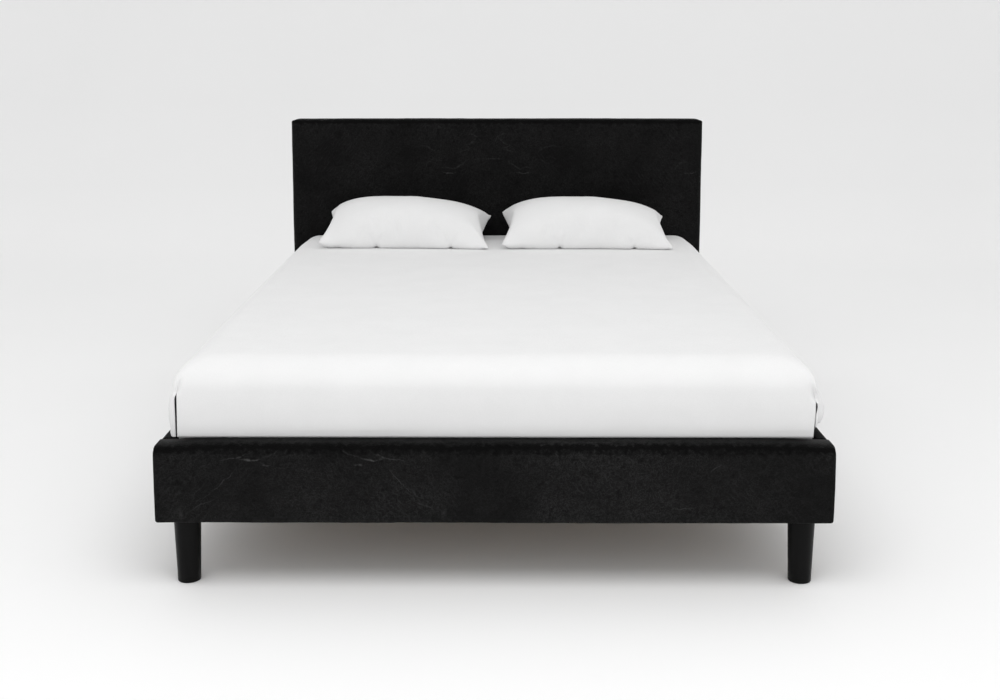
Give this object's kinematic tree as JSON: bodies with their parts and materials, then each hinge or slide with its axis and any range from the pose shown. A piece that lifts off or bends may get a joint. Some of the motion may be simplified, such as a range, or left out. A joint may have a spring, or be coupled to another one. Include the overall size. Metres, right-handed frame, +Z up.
{
  "type": "platform bed",
  "caption": "Queen platform bed with a padded black leather headboard and rails on tapered round legs, slatted base, mattress, white coverlet and pillows.",
  "frame": {"origin": "on the floor, under the middle of the bed's overall box", "axes": "+X to the right seen from the foot, +Y from the foot to the headboard, +Z up"},
  "size_m": [1.61, 2.202, 1],
  "materials": {
    "black_leather": "distressed, fine creases, satin sheen",
    "back_cloth": "thin non-woven cloth",
    "foam": "open-cell foam",
    "black_leg": "satin black lacquer",
    "glide": "matte",
    "black_foot": "satin black",
    "zinc_steel": "bright zinc",
    "black_steel": "black powder coat",
    "webbing": "woven strap",
    "plywood": "sanded",
    "hardwood": "planed",
    "pine": "planed, unfinished",
    "mattress_ticking": "quilted dark grey knit border",
    "white_coverlet": "smooth matte weave",
    "white_pillow": "smooth matte weave"
  },
  "bodies": {
    "frame": {"beam_hanger_foot": "black_steel", "beam_hanger_head": "black_steel", "centre_beam": "pine", "centre_leg_front": "black_leg", "centre_leg_rear": "black_leg", "corner_block_front_left": "hardwood", "corner_block_front_right": "hardwood", "corner_block_rear_left": "hardwood", "corner_block_rear_right": "hardwood", "corner_bolts": "zinc_steel", "corner_nuts": "zinc_steel", "foot_rail_board": "pine", "foot_rail_cover": "black_leather", "foot_rail_foam": "foam", "headboard_back_cloth": "back_cloth", "headboard_bottom_rail": "pine", "headboard_cover": "black_leather", "headboard_face_panel": "plywood", "headboard_foam": "foam", "headboard_stile_left": "pine", "headboard_stile_middle": "pine", "headboard_stile_right": "pine", "headboard_top_rail": "pine", "leg_front_left": "black_leg", "leg_front_right": "black_leg", "leg_glides": "glide", "leg_hanger_bolts": "zinc_steel", "leg_plates": "zinc_steel", "leg_rear_left": "black_leg", "leg_rear_right": "black_leg", "side_rail_board_left": "pine", "side_rail_board_right": "pine", "side_rail_cover_left": "black_leather", "side_rail_cover_right": "black_leather", "side_rail_foam_left": "foam", "side_rail_foam_right": "foam", "slat_01": "pine", "slat_02": "pine", "slat_03": "pine", "slat_04": "pine", "slat_05": "pine", "slat_06": "pine", "slat_07": "pine", "slat_08": "pine", "slat_09": "pine", "slat_10": "pine", "slat_11": "pine", "slat_12": "pine", "slat_13": "pine", "slat_ledge_left": "pine", "slat_ledge_right": "pine", "slat_webbing": "webbing"},
    "mattress": {"mattress": "mattress_ticking", "coverlet": "white_coverlet"},
    "pillow_left": {"pillow_left": "white_pillow"},
    "pillow_right": {"pillow_right": "white_pillow"},
    "levelling_foot_front": {"levelling_foot_front": "black_foot"},
    "levelling_foot_rear": {"levelling_foot_rear": "black_foot"}
  },
  "joints": [
    {"name": "mattress_lift", "type": "slide", "parent": "frame", "child": "mattress", "axis": [0, 0, 1], "range_m": [0, 0.3]},
    {"name": "pillow_left_lift", "type": "slide", "parent": "mattress", "child": "pillow_left", "axis": [0, 0, 1], "range_m": [0, 0.2]},
    {"name": "pillow_right_lift", "type": "slide", "parent": "mattress", "child": "pillow_right", "axis": [0, 0, 1], "range_m": [0, 0.2]},
    {"name": "levelling_foot_front_screw", "type": "slide", "parent": "frame", "child": "levelling_foot_front", "axis": [0, 0, 1], "range_m": [0, 0.012]},
    {"name": "levelling_foot_rear_screw", "type": "slide", "parent": "frame", "child": "levelling_foot_rear", "axis": [0, 0, 1], "range_m": [0, 0.012]}
  ]
}
